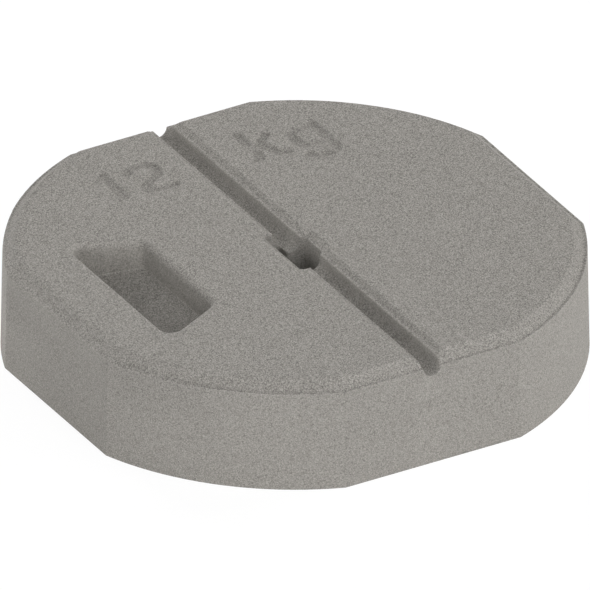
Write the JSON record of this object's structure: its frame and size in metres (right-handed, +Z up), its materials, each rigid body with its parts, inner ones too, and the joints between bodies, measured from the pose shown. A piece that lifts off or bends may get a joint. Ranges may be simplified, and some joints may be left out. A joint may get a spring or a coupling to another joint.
{
  "type": "umbrella base",
  "caption": "Round concrete weight with flat sides that holds a parasol: a groove across its top face, a T-shaped socket in the middle and a sunk hand pocket.",
  "frame": {"origin": "middle of the disc on the face that it stands on", "axes": "+Z up; the groove runs along Y and the hand pocket is on the -X side"},
  "size_m": [0.31, 0.31, 0.0667],
  "materials": {
    "concrete": "matt, as cast"
  },
  "bodies": {
    "root": {"concrete_base": "concrete"}
  },
  "joints": []
}
